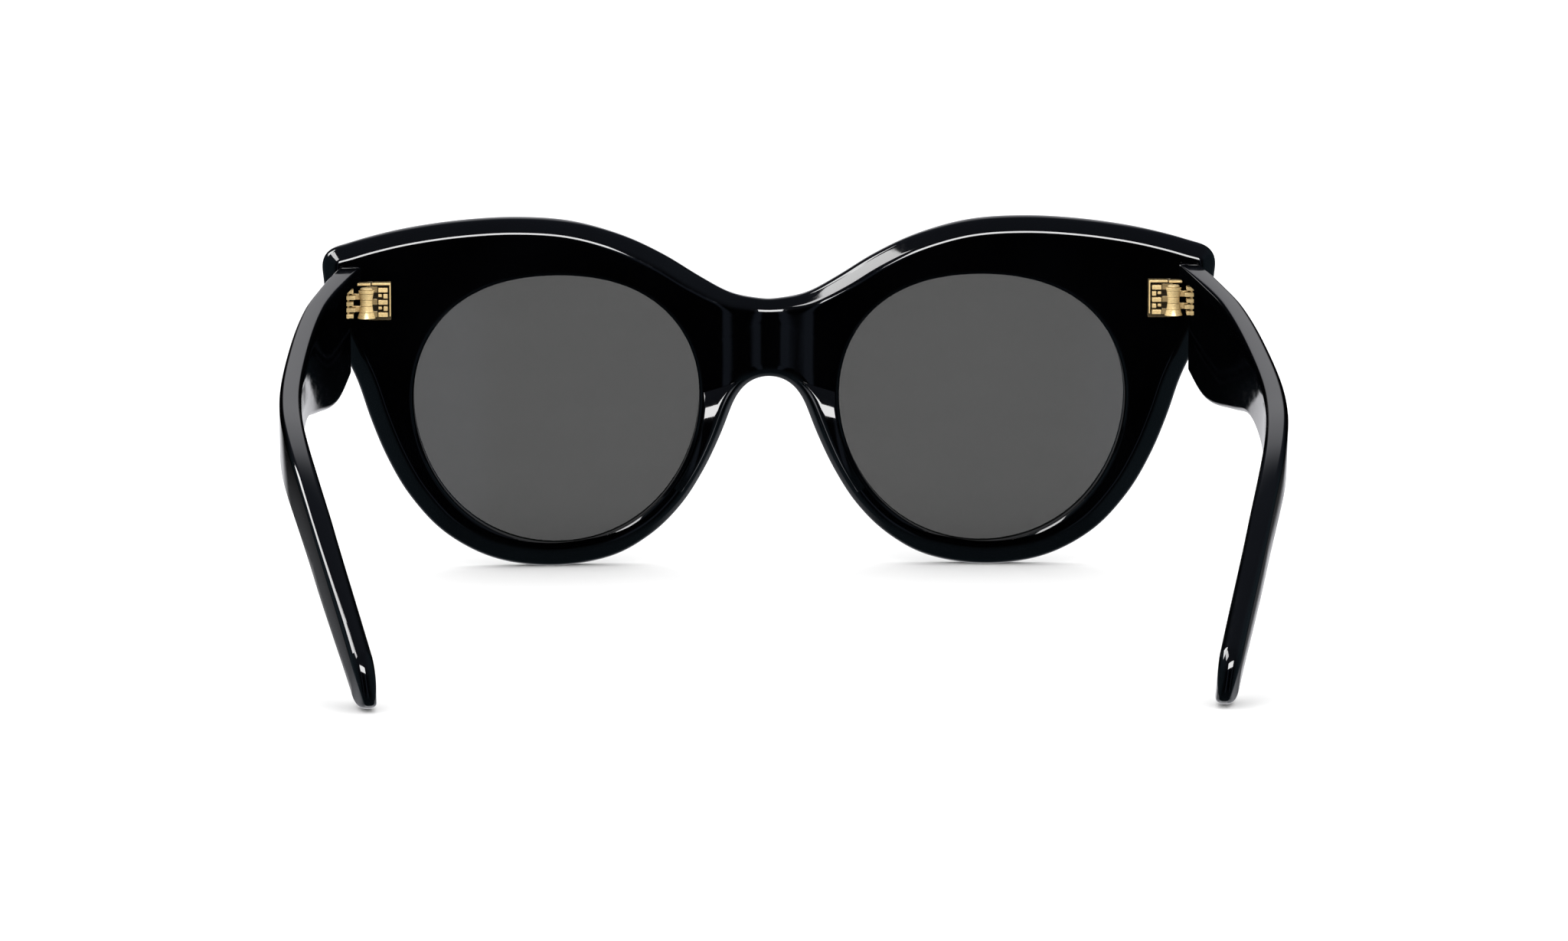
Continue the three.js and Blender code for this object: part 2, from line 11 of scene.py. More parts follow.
import bmesh
import bpy
import numpy as np
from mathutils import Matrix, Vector


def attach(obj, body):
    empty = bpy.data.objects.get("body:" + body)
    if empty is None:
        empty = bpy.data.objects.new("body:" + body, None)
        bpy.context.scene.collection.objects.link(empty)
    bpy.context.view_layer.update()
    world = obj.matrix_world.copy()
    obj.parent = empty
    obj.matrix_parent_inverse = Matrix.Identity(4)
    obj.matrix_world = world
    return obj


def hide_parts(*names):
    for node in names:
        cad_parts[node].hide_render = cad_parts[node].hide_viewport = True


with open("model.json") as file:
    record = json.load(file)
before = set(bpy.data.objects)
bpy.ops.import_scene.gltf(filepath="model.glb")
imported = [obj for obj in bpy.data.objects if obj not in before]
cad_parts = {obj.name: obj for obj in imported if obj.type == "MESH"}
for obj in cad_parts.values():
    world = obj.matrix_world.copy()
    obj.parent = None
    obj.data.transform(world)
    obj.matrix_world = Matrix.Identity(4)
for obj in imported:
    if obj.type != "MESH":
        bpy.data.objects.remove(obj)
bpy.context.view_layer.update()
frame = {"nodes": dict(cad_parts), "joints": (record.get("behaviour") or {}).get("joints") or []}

MM = 0.001
STRAIGHT = 0.001            # radians by which a corner may turn and still count as straight
MERGE_DISTANCE = 0.002      # millimetres

# ---- Driving dimensions, in millimetres --------------------------------------------------------------

# Front. Its bevel runs round the rear face, and its ridge is where the rear face turns into it.
FRONT_THICKNESS = 5.0
BASE_CURVE_RADIUS = 600.0
DATUM_X = 35.3              # where the rear face is at y = 0
BEVEL_DEPTH = 2.4
BEVEL_BROW = 2.3            # the bevel's width along the brow,
BEVEL_RIM = 3.0             # round the outside and bottom of the rim,
BEVEL_NOSE = 1.2            # and beside the nose
RIDGE_ROUND = 1.9
WALL_ROUND = 2.2
FRONT_ROUND = 0.9
FACE_MARGIN = 1.3           # how far the edge's profile runs onto the two flat faces
BRIDGE_SCOOP = 1.3          # depth of the hollow behind the bridge
BRIDGE_SCOOP_HALF = 9.0

# Lenses and their openings
LENS_CENTRE = np.array([35.3, 26.5])
LENS_RADIUS = 23.3
LENS_CURVE_RADIUS = 265.0
LENS_THICKNESS = 2.0
LENS_DEPTH = -3.1           # the lens's rear face at its middle, from the front's rear face
LENS_EDGE_GAP = 0.05        # between the lens and the floor of its groove
GROOVE_DEPTH = 1.0
GROOVE_WALLS = (0.15, 0.35) # the groove's rear and front wall, behind the lens's at its middle
MOUTH_CHAMFER_REAR = 0.4
MOUTH_CHAMFER_FRONT = 0.5
MOUTH_MARGIN = 0.3          # how far the opening's profile runs onto the two flat faces

# Nose pads
PAD_HEIGHT = 3.3
PAD_TOP_Z = 30.3
PAD_BOTTOM_Z = 11.5
PAD_MOUTH_SETBACK = 0.7     # from the lens opening to the pad
PAD_RIDGE_SETBACK = 0.1     # from the front's ridge to the pad
PAD_ROOT = -0.4             # how deep its foot is set in the front
# across the pad from the lens side to the nose side, and up it, as shares
PAD_PROFILE = [(0.0, PAD_ROOT), (0.0, 0.93), (0.85, 1.0), (1.0, PAD_ROOT)]
PAD_ROUNDS = [0.1, 0.25]

# Temples. The butt is the end at the hinge.
TEMPLE_THICKNESS = 3.5
EDGE_ROUND_Y = (4, 16, 110, 130)
EDGE_ROUND = (0.35, 0.85, 0.85, 1.6)    # radius of the four edges at each of those y
TIP_LENGTH = 6.0
TIP_THINNING = 0.7
TIP_LOWER_POWER = 1.6       # above 1, the tip's underside is drawn up
BUTT_INSET = 0.25           # the small chamfer round the butt's end face
BUTT_SETBACK = 0.22
BUTT_ROUND_LENGTH = 6.5     # the outer side turns in towards the butt
BUTT_ROUND_DEPTH = 1.7
BUTT_LEAN = 1.7             # how far the top reaches inwards at the butt,
BUTT_LEAN_LENGTH = 22.0     # over this length
BUTT_LEAN_HEIGHT = 2.2      # and this height below the upper edge
BUTT_LEAN_POWER = 1.5
BUTT_CORNER_LENGTH = 1.8    # the top's outer corner is cut back at the butt
BUTT_CORNER_DEPTH = 1.7
STEP_ROUND = 0.2            # radius of the small step under the lean
STEP_SLOPE = 0.1            # the step's height, as a share of the temple's half height

# Hinges. A block is its span on X and on Y, and for some on Z, measured from the hinge axis.
HINGE_AXIS = np.array([66.6, 5.9, 44.6])
HINGE_LIFT = 0.6            # how far the hinge sits above the joint's own point
BARREL_RADIUS = 1.5
BARREL_WAIST = 1.0          # radius at the middle of the column of barrels
BARREL_PITCH = 1.02
BARREL_SEAM = 0.04
BARREL_ROWS = 5
COLUMN_TOP = 2.1
TURN_STEPS = 48
LEAF_HEIGHT = 6.4
FRONT_PLATE = ((-4.0, -0.2), (-4.1, -2.9))
FRONT_WEB = ((-1.8, 0.0), (-3.2, -1.6))
TOP_RIM = ((-4.0, -0.9), (-3.4, -0.5))
TOP_RIM_HEIGHT = 0.32
TOP_SHELF = ((-0.7, 1.5), (-3.4, -0.6))
TOP_SHELF_Z = (-0.42, -0.06)            # from the leaf's top
SIDE_RIM = ((-4.0, -3.8), (-3.4, -0.5))
SIDE_RIM_ENDS = (0.9, -0.2)             # from the leaf's bottom and top
BARREL_ROW_BLOCK = ((-3.5, -1.95), (-3.2, -0.55))
PLAIN_ROW_BLOCK = ((-3.5, -2.8), (-3.2, -0.6))
PLAIN_ROW_POST = ((-2.55, -1.95), (-3.2, -0.9))
PLAIN_ROW_POST_ENDS = (0.2, -0.05)      # from the block's bottom and top
FRONT_BLOCK_GAP = 0.13
TEMPLE_WEB = ((0.4, 2.4), (-1.2, -0.4))
TEMPLE_BARREL_ROWS = (1, 3)
TEMPLE_BLOCK_X = 3.9
TEMPLE_BLOCK_Y = (-0.6, 1.5)
TEMPLE_BLOCK_REACH = (2.1, 1.75)        # where even and odd rows' blocks start in X
TEMPLE_BLOCK_GAP = 0.17
TEMPLE_SPINE = ((2.8, 3.9), (-0.6, 0.9), (-2.5, 2.5))
TEMPLE_PLATE_START = 1.5
TEMPLE_PLATE_LENGTH = 9.5
TEMPLE_PLATE_THICKNESS = 1.1
TEMPLE_PLATE_SUNK = 1.15
TEMPLE_PLATE_HALF = 2.7
SCREW_RADIUS = 0.6
SCREW_SHORT = 0.1           # how far the screw stops above the column's bottom
SCREW_HEAD = [              # radius, and height above the column's top
    (SCREW_RADIUS, 0.05), (1.0, 0.05), (1.0, 0.3), (0.85, 0.42), (0.4, 0.44), (0.35, 0.36),
]
# Painted shade: the hinge's colour darkens deep in its recesses, towards the front, down to the share
# below.
PAINTED_SHADE_Y = (-2.4, -0.9)      # the painted shade is darkest at the first y and gone at the second
PAINTED_SHADE_DARKEST = 0.12
TARNISH_SHADE = 0.78

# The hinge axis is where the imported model's first joint is.
Y_SHIFT = frame["joints"][0]["pos_m"][1] / MM - HINGE_AXIS[1]

# Half of the front's outline in X and Z, from the top of the bridge round to the bridge's underside.
BROW = [
    (0, 44.3), (6, 45.4), (11.5, 48.3), (17.5, 52.0), (24.5, 55.3), (33, 57.7), (42, 58.4), (51, 58.0),
    (59.5, 56.9), (66, 55.5), (70.5, 54.2),
]
END_PIECE = [(70.5, 54.2), (75.0, 53.6), (73.8, 49.2)]
RIM = [
    (73.8, 49.2), (73.1, 43.2), (71.0, 37.4), (68.3, 31.5), (66.2, 25.2), (63.5, 18.6), (59.7, 12.0),
    (53.9, 5.7), (45.7, 1.3), (36.0, -0.1), (26.6, 1.3), (19.8, 5.0), (14.7, 10.0), (11.0, 15.7),
    (8.2, 21.5), (6.3, 26.4),
]
BRIDGE_ARCH = [(6.3, 26.4), (4.9, 30.0), (2.8, 31.5), (0, 31.5)]

# The temple's upper and lower edge in Y and Z, and its outer side in plan as Y and X.
UPPER_EDGE = [
    (3.5, 51.0), (16, 48.8), (34, 45.6), (54, 42.0), (73, 38.6), (88, 35.8), (99, 32.6), (109.5, 27.5),
    (120.5, 21.0), (131.5, 13.9), (138.7, 9.1),
]
LOWER_EDGE = [
    (3.5, 33.2), (14, 29.5), (33, 30.6), (52, 32.0), (71, 29.2), (85.5, 26.3), (94.5, 23.2),
    (103.5, 18.4), (114, 12.0), (125, 5.4), (132.2, 1.25),
]
OUTER_SIDE = [
    (-20, 67.6), (3, 72.6), (27, 76.4), (51, 78.3), (73, 78.7), (92, 77.0), (112, 72.5), (133, 67.0),
    (152, 62.1),
]


# ---- Curves ------------------------------------------------------------------------------------------

def spline(points, steps):
    """A smooth curve through the points, as an array of steps + 1 points."""
    p = np.array(points, float)
    last = len(p) - 1
    t = np.linspace(0, last, steps + 1)
    i = np.minimum(t.astype(int), last - 1)
    w = (t - i)[:, None]
    before, start, end, after = p[np.maximum(i - 1, 0)], p[i], p[i + 1], p[np.minimum(i + 2, last)]
    v0, v1 = (end - before) / 2, (after - start) / 2
    return (
        (2 * start - 2 * end + v0 + v1) * w**3
        + (-3 * start + 3 * end - 2 * v0 - v1) * w**2
        + v0 * w
        + start
    )


def bezier(points, steps):
    """A Bezier curve of any degree, as an array of steps + 1 points."""
    p = np.array(points, float)
    n = len(p) - 1
    t = np.linspace(0, 1, steps + 1)[:, None]
    return sum(math.comb(n, k) * t**k * (1 - t) ** (n - k) * p[k] for k in range(n + 1))


def smoothed(line, passes, ends="fixed"):
    """The line with its kinks worn away. Mirrored ends keep it square to the middle plane."""
    line = line.copy()
    for _ in range(passes):
        before, after = np.roll(line, 1, axis=0), np.roll(line, -1, axis=0)
        if ends == "mirrored":
            before[0] = line[1] * (-1, 1)
            after[-1] = line[-2] * (-1, 1)
        else:
            before[0] = after[0] = line[0]
            before[-1] = after[-1] = line[-1]
        line = (before + 2 * line + after) / 4
    return line


def evenly(line, count):
    """count + 1 points at equal distances along the line."""
    reach = np.concatenate([[0], np.cumsum(np.linalg.norm(np.diff(line, axis=0), axis=1))])
    at = np.linspace(0, reach[-1], count + 1)
    return np.stack([np.interp(at, reach, line[:, k]) for k in range(line.shape[1])], axis=1)


def ramp(value, start, end):
    """A smooth step from 0 at start to 1 at end."""
    t = np.clip((value - start) / (end - start), 0, 1)
    return t * t * (3 - 2 * t)


def filleted(corners, radii, steps):
    """A path through the corners in the plane, with each inner corner rounded to its radius.

    Every corner gives steps + 1 points, also a straight one, so that paths of one kind match up.
    """
    corners = [np.array(c, float) for c in corners]
    path = [corners[0]]
    for before, corner, after, radius in zip(corners, corners[1:], corners[2:], radii):
        to_before, to_after = before - corner, after - corner
        u, v = to_before / np.linalg.norm(to_before), to_after / np.linalg.norm(to_after)
        half = math.acos(np.clip(u @ v, -1, 1)) / 2
        if half > math.pi / 2 - STRAIGHT:
            path += [corner] * (steps + 1)
            continue
        cut = radius / math.tan(half)
        centre = corner + (u + v) / np.linalg.norm(u + v) * (radius / math.sin(half))
        start, end = corner + u * cut - centre, corner + v * cut - centre
        turn = math.pi - 2 * half
        for k in range(steps + 1):
            a = k / steps
            arc = math.sin((1 - a) * turn) * start + math.sin(a * turn) * end
            path.append(centre + arc / math.sin(turn))
    path.append(corners[-1])
    return np.array(path)


# ---- Meshes ------------------------------------------------------------------------------------------

class Shape:
    """Vertices in millimetres and faces, joined up from parts."""

    def __init__(self):
        self.points = []
        self.faces = []

    def ring(self, points):
        """Adds the points and returns their numbers."""
        start = len(self.points)
        self.points += [tuple(p) for p in points]
        return list(range(start, len(self.points)))

    def strip(self, first, second, closed=True):
        count = len(first) if closed else len(first) - 1
        for i in range(count):
            j = (i + 1) % len(first)
            self.faces.append((first[i], first[j], second[j], second[i]))

    def tube(self, rings, closed=True):
        """Joins each ring of points to the next, and returns the rings' numbers."""
        made = [self.ring(r) for r in rings]
        for first, second in zip(made, made[1:]):
            self.strip(first, second, closed)
        return made

    def cap(self, ring):
        self.faces.append(tuple(ring))

    def fan(self, ring, centre):
        middle = self.ring([centre])[0]
        self.faces += [(ring[i], ring[(i + 1) % len(ring)], middle) for i in range(len(ring))]

    def add(self, other):
        start = len(self.points)
        self.points += other.points
        self.faces += [tuple(i + start for i in f) for f in other.faces]
        return self

    def mirrored(self):
        other = Shape()
        other.points = [(-x, y, z) for x, y, z in self.points]
        other.faces = [tuple(reversed(f)) for f in self.faces]
        return other


def make_object(name, shape, sharp=40.0):
    """A smooth-shaded object whose edges stay crisp above the sharp angle. Sizes are millimetres."""
    mesh = bpy.data.meshes.new(name)
    placed = [(x * MM, (y + Y_SHIFT) * MM, z * MM) for x, y, z in shape.points]
    mesh.from_pydata(placed, [], shape.faces)
    bm = bmesh.new()
    bm.from_mesh(mesh)
    bmesh.ops.remove_doubles(bm, verts=bm.verts, dist=MERGE_DISTANCE * MM)
    bmesh.ops.recalc_face_normals(bm, faces=bm.faces)
    bm.to_mesh(mesh)
    bm.free()
    mesh.shade_smooth()
    mesh.set_sharp_from_angle(angle=math.radians(sharp))
    obj = bpy.data.objects.new(name, mesh)
    bpy.context.scene.collection.objects.link(obj)
    return obj


def dress(obj, body, slot, material, *nodes):
    """Sets a piece's material, the body it moves with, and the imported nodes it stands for."""
    obj.data.materials.clear()
    obj.data.materials.append(material)
    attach(obj, body)
    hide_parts(*nodes)


def pair(name, shape, bodies, slot, material, node, sharp=40.0, finish=None):
    """A left-hand piece and its mirror image."""
    sides = (("left", shape, bodies[0]), ("right", shape.mirrored(), bodies[1]))
    for side, form, body in sides:
        obj = make_object(f"{name}_{side}", form, sharp)
        if finish:
            finish(obj)
        dress(obj, body, slot, material, f"{node}_{side}")


def hinge_finish(obj):
    """Fine rounded edges. The polished acetate beside the hinge doesn't mirror it."""
    bevel = obj.modifiers.new("edges", "BEVEL")
    bevel.width = 0.08 * MM
    bevel.segments = 2
    bevel.limit_method = "ANGLE"
    bevel.angle_limit = math.radians(30)
    bevel.harden_normals = True
    obj.visible_glossy = False


# ---- Front -------------------------------------------------------------------------------------------

def base_curve(x):
    """The y of the front's rear face."""
    return (x * x - DATUM_X**2) / (2 * BASE_CURVE_RADIUS)


def bridge_scoop(x):
    """How deep the rear face is hollowed behind the bridge."""
    t = np.minimum(np.abs(x) / BRIDGE_SCOOP_HALF, 1)
    return BRIDGE_SCOOP * 0.5 * (1 + np.cos(np.pi * t))


def on_front(xz, depth):
    """Points of the front, from x and z in its outline and a depth that is 0 at its rear face.

    The depth is below 0 inside the front. The bridge's hollow fades out towards the front face.
    """
    x, z = xz[..., 0], xz[..., 1]
    fade = np.minimum(1, 1 + depth / FRONT_THICKNESS)
    y = base_curve(x) + depth - fade * bridge_scoop(x)
    return np.stack([x, y, np.maximum(z, 0)], axis=-1)


def front_outline():
    """Half of the outline as evenly spaced points."""
    runs = [spline(BROW, 300), bezier(END_PIECE, 60), spline(RIM, 500), bezier(BRIDGE_ARCH, 80)]
    line = np.concatenate([runs[0]] + [r[1:] for r in runs[1:]])
    return smoothed(evenly(line, 420), 8, "mirrored")


def inward_normals(line):
    """Directions square to the outline, turned inwards and smoothed round its corners."""
    before, after = np.roll(line, 1, axis=0), np.roll(line, -1, axis=0)
    before[0] = line[1] * (-1, 1)
    after[-1] = line[-2] * (-1, 1)
    along = after - before
    normals = np.stack([along[:, 1], -along[:, 0]], axis=1)
    normals = smoothed(normals, 60, "mirrored")
    return normals / np.linalg.norm(normals, axis=1)[:, None]


def bevel_width(line):
    """The bevel's width, which changes up the side of the rim and again towards the nose."""
    x, z = line[:, 0], line[:, 1]
    outer = BEVEL_RIM + (BEVEL_BROW - BEVEL_RIM) * ramp(z, 34, 50)
    toward_nose = ramp(-x, -30, -12) * ramp(-z, -50, -40)
    return outer + (BEVEL_NOSE - outer) * toward_nose


def opening_point(angle, offset):
    """The lens opening's edge: a circle with slow waves, grown by the offset."""
    radius = (LENS_RADIUS + 0.47 * np.sin(angle) + 0.55 * np.cos(2 * angle) + 0.57 * np.sin(3 * angle)
              - 0.24 * np.cos(4 * angle) + offset)
    return LENS_CENTRE + np.stack([np.cos(angle), np.sin(angle)], axis=-1) * radius[..., None]


def edge_profile(width):
    """The edge of the front as (inset, depth), from the rear face round to the front face."""
    corners = [(width + FACE_MARGIN, 0), (width, 0), (0, -BEVEL_DEPTH), (0, -FRONT_THICKNESS),
               (FACE_MARGIN, -FRONT_THICKNESS)]
    return filleted(corners, [RIDGE_ROUND, WALL_ROUND, FRONT_ROUND], 7)


def front_half():
    """The half of the front at x > 0, open at the middle of the bridge."""
    line = front_outline()
    normals = inward_normals(line)
    profiles = np.array([edge_profile(w) for w in bevel_width(line)])
    shape = Shape()
    rings = []
    for k in range(profiles.shape[1]):
        inset, depth = profiles[:, k, 0], profiles[:, k, 1]
        rings.append(on_front(line + normals * inset[:, None], depth))
    shape.tube(rings, closed=False)
    rear, front = with_seam(rings[0]), with_seam(rings[-1])
    mouth = opening_rings(rear)
    face_bands(shape, rear, mouth[0], 0.0)
    shape.tube(mouth)
    face_bands(shape, mouth[-1], front, -FRONT_THICKNESS)
    return shape


def with_seam(ring):
    """The ring closed by points up the middle of the bridge."""
    steps = np.linspace(0, 1, 16)[1:-1, None]
    seam = ring[-1] + (ring[0] - ring[-1]) * steps
    return np.concatenate([ring, seam])


def opening_rings(around):
    """The wall of the lens opening, with its chamfers and the lens groove."""
    angle = np.arctan2(around[:, 2] - LENS_CENTRE[1], around[:, 0] - LENS_CENTRE[0])
    near, far = LENS_DEPTH + GROOVE_WALLS[0], LENS_DEPTH - LENS_THICKNESS + GROOVE_WALLS[1]
    draft = 0.1
    corners = [
        (MOUTH_CHAMFER_REAR + MOUTH_MARGIN, 0), (MOUTH_CHAMFER_REAR, 0), (0, -MOUTH_CHAMFER_REAR),
        (0, near), (GROOVE_DEPTH, near - draft), (GROOVE_DEPTH, far + draft), (0, far),
        (0, MOUTH_CHAMFER_FRONT - FRONT_THICKNESS), (MOUTH_CHAMFER_FRONT, -FRONT_THICKNESS),
        (MOUTH_CHAMFER_FRONT + MOUTH_MARGIN, -FRONT_THICKNESS),
    ]
    radii = [0.3, 0.3, 0.08, 0.05, 0.05, 0.08, 0.12, 0.3]
    path = filleted(corners, radii, 3)
    return [on_front(opening_point(angle, offset), depth) for offset, depth in path]


def face_bands(shape, outer, inner, depth):
    """A flat face of the front in bands that follow its curve."""
    bands = 10
    rings = []
    for t in np.linspace(0, 1, bands + 1):
        between = outer + (inner - outer) * t
        rings.append(on_front(between[:, [0, 2]], depth) if 0 < t < 1 else between)
    shape.tube(rings)


def front_shape():
    half = front_half()
    return Shape().add(half).add(half.mirrored())


# ---- Nose pads ---------------------------------------------------------------------------------------

def pad_shape():
    """A pad on the rear face beside the nose, highest halfway down and fading out at both ends."""
    line = front_outline()
    normals = inward_normals(line)
    width = bevel_width(line)
    keep = (line[:, 0] < 20) & (line[:, 1] < PAD_TOP_Z) & (line[:, 1] > PAD_BOTTOM_Z)
    p, n, w = line[keep], normals[keep], width[keep]
    t = (p[:, 1] - PAD_BOTTOM_Z) / (PAD_TOP_Z - PAD_BOTTOM_Z)
    height = PAD_HEIGHT * 4 * t * (1 - t)
    outer = p + n * (w[:, None] + PAD_RIDGE_SETBACK)
    angle = np.arctan2(p[:, 1] - LENS_CENTRE[1], p[:, 0] - LENS_CENTRE[0])
    inner = opening_point(angle, np.full(len(angle), PAD_MOUTH_SETBACK))
    rings = []
    for share, rise in filleted(PAD_PROFILE, PAD_ROUNDS, 10):
        flat = inner + (outer - inner) * share
        depth = np.where(rise > 0, rise * height, rise)
        rings.append(on_front(flat, depth))
    shape = Shape()
    rings = np.array(rings)
    made = shape.tube([rings[:, k] for k in range(rings.shape[1])])
    shape.cap(made[0])
    shape.cap(list(reversed(made[-1])))
    return shape


# ---- Lenses ------------------------------------------------------------------------------------------

def lens_shape():
    """A dished disc with a rounded edge."""
    steps = 160
    angle = np.linspace(0, 2 * np.pi, steps, endpoint=False)
    edge = opening_point(angle, np.full(steps, GROOVE_DEPTH - LENS_EDGE_GAP)) - LENS_CENTRE
    half = LENS_THICKNESS / 2

    def ring(fraction, side):
        x, z = (edge * fraction).T
        sag = (x * x + z * z) / (2 * LENS_CURVE_RADIUS)
        across = LENS_CENTRE[0] + x
        y = base_curve(across) + LENS_DEPTH - half + sag + side
        return np.stack([across, y, LENS_CENTRE[1] + z], axis=1)

    fractions = [0.04, 0.2, 0.4, 0.6, 0.8, 0.97]
    rings = [ring(f, half) for f in fractions]
    rings += [ring(1, half * 0.25), ring(1, -half * 0.25)]
    rings += [ring(f, -half) for f in reversed(fractions)]
    shape = Shape()
    made = shape.tube(rings)
    shape.fan(made[0], ring(0, half)[0])
    shape.fan(list(reversed(made[-1])), ring(0, -half)[0])
    return shape


# ---- Temples -----------------------------------------------------------------------------------------

OUTER_LINE = spline(OUTER_SIDE, 600)


def outer_side(y):
    """The temple's outer side at y: its x, and its outward normal."""
    x = np.interp(y, OUTER_LINE[:, 0], OUTER_LINE[:, 1])
    step = 2
    ahead = np.interp(y + step, OUTER_LINE[:, 0], OUTER_LINE[:, 1])
    behind = np.interp(y - step, OUTER_LINE[:, 0], OUTER_LINE[:, 1])
    slope = (ahead - behind) / (2 * step)
    normal = np.array([1.0, -slope, 0.0])
    return x, normal / np.linalg.norm(normal)


def temple_rungs():
    """Upper and lower points from the butt to the round tip, with the share of the full thickness."""
    steps, tip_steps = 260, 18
    upper = smoothed(spline(UPPER_EDGE, steps), 30)
    lower = smoothed(spline(LOWER_EDGE, steps), 30)
    rungs = [(u, v, 1.0) for u, v in zip(upper, lower)]
    middle, half = (upper[-1] + lower[-1]) / 2, (upper[-1] - lower[-1]) / 2
    ahead = np.array([half[1], -half[0]]) / np.linalg.norm(half)
    for a in np.linspace(0, math.pi / 2, tip_steps + 1)[1:-1]:
        base = middle + ahead * TIP_LENGTH * math.sin(a)
        thin = 1 - TIP_THINNING * (1 - math.cos(a))
        rungs.append((base + half * math.cos(a), base - half * math.cos(a) ** TIP_LOWER_POWER, thin))
    return rungs


def quarter_round(share):
    """A quarter circle that falls from 1 at share 0 to 0 at share 1."""
    return 1 - math.sqrt(1 - (1 - share) ** 2)


def section_path(from_butt, middle_y, half_height, thickness):
    """The temple's section as (across, rise): a rounded rectangle whose top leans inwards at the butt."""
    butt = BUTT_ROUND_DEPTH * quarter_round(np.clip(from_butt / BUTT_ROUND_LENGTH, 0, 1))
    lean = BUTT_LEAN * np.clip(1 - from_butt / BUTT_LEAN_LENGTH, 0, 1) ** BUTT_LEAN_POWER
    corner = BUTT_CORNER_DEPTH * quarter_round(np.clip(from_butt / BUTT_CORNER_LENGTH, 0, 1))
    outer = thickness / 2 - butt
    outer_top = min(outer, thickness / 2 - lean - corner)
    inner = -thickness / 2
    inner_top = inner - lean
    radius = min(np.interp(middle_y, EDGE_ROUND_Y, EDGE_ROUND), half_height * 0.8,
                 (outer - inner) * 0.47, (outer_top - inner_top) * 0.47)
    step = half_height - min(BUTT_LEAN_HEIGHT, half_height * 0.5)
    corners = [
        (outer, 0), (outer_top, half_height), (inner_top, half_height), (inner_top, step),
        (inner, step - half_height * STEP_SLOPE), (inner, -half_height), (outer, -half_height),
        (outer, 0),
    ]
    return filleted(corners, [radius, radius, STEP_ROUND, STEP_ROUND, radius, radius], 6)[:-1]


def temple_section(upper, lower, thin):
    """The ring of points round the temple between the two points of a rung."""
    middle = (upper + lower) / 2
    half_height = np.linalg.norm(upper - lower) / 2
    up = (upper - lower) / (2 * half_height)
    x, normal = outer_side(middle[0])
    from_butt = upper[0] - UPPER_EDGE[0][0]
    ring = []
    for across, rise in section_path(from_butt, middle[0], half_height, TEMPLE_THICKNESS * thin):
        y, z = middle + up * rise
        offset = across - TEMPLE_THICKNESS / 2
        ring.append((x + normal[0] * offset, y + normal[1] * offset, max(z, 0.0)))
    return ring


def temple_shape():
    """The temple from its chamfered butt to its round tip."""
    rings = [temple_section(*rung) for rung in temple_rungs()]
    butt = np.array(rings[0])
    centre = butt.mean(axis=0)
    inset = [centre + (p - centre) * (1 - BUTT_INSET / np.linalg.norm(p - centre)) for p in butt]
    rings[0] = butt + (0, BUTT_SETBACK, 0)
    shape = Shape()
    made = shape.tube([inset] + rings)
    shape.cap(list(reversed(made[0])))
    shape.fan(made[-1], np.array(rings[-1]).mean(axis=0))
    return shape


# ---- Hinges ------------------------------------------------------------------------------------------

def from_hinge(x, y, z):
    """A point measured from the hinge axis, in the part's own millimetres."""
    return (HINGE_AXIS[0] + x, HINGE_AXIS[1] + y, HINGE_AXIS[2] + HINGE_LIFT + z)


def stacked(levels):
    """A closed shape through level rings of points."""
    shape = Shape()
    made = shape.tube(levels)
    shape.cap(list(reversed(made[0])))
    shape.cap(made[-1])
    return shape


def prism(outline, low, high):
    """An outline in plan, raised from low to high."""
    return stacked([[from_hinge(x, y, z) for x, y in outline] for z in (low, high)])


def slab(x, y, z):
    """A block between two values on each axis."""
    return prism([(x[0], y[0]), (x[1], y[0]), (x[1], y[1]), (x[0], y[1])], z[0], z[1])


def turned(profile):
    """A profile of (radius, height) turned about the hinge axis."""
    turn = np.linspace(0, 2 * np.pi, TURN_STEPS, endpoint=False)
    return stacked([[from_hinge(radius * math.cos(a), radius * math.sin(a), z) for a in turn]
                    for radius, z in profile])


def row_span(row, gap=0.0):
    """The bottom and top of a row of the hinge, each drawn in by the gap."""
    base = (row - BARREL_ROWS / 2) * BARREL_PITCH
    return base + BARREL_SEAM / 2 + gap, base + BARREL_PITCH - BARREL_SEAM / 2 - gap


def barrel(row, web):
    """A barrel of the hinge in one row, waisted about the column's middle, with its web in plan."""
    low, high = row_span(row)
    half_column = BARREL_ROWS * BARREL_PITCH / 2
    flare = BARREL_RADIUS - BARREL_WAIST
    profile = [(BARREL_WAIST + flare * (z / half_column) ** 2, z)
               for z in np.linspace(low, min(high, COLUMN_TOP), 5)]
    return turned(profile).add(slab(*web, (low, high)))


def front_leaf_shape():
    """Plate with a raised rim on its top and lens side, three barrels, and a block beside each row."""
    half = LEAF_HEIGHT / 2
    shape = slab(*FRONT_PLATE, (-half, half))
    shape.add(slab(*TOP_RIM, (half - TOP_RIM_HEIGHT, half)))
    shape.add(slab(*TOP_SHELF, (half + TOP_SHELF_Z[0], half + TOP_SHELF_Z[1])))
    shape.add(slab(*SIDE_RIM, (SIDE_RIM_ENDS[0] - half, SIDE_RIM_ENDS[1] + half)))
    for row in range(BARREL_ROWS):
        low, high = row_span(row, FRONT_BLOCK_GAP)
        if row in TEMPLE_BARREL_ROWS:
            shape.add(slab(*PLAIN_ROW_BLOCK, (low, high)))
            low, high = low + PLAIN_ROW_POST_ENDS[0], high + PLAIN_ROW_POST_ENDS[1]
            shape.add(slab(*PLAIN_ROW_POST, (low, high)))
        else:
            shape.add(barrel(row, FRONT_WEB))
            shape.add(slab(*BARREL_ROW_BLOCK, (low, high)))
    return shape


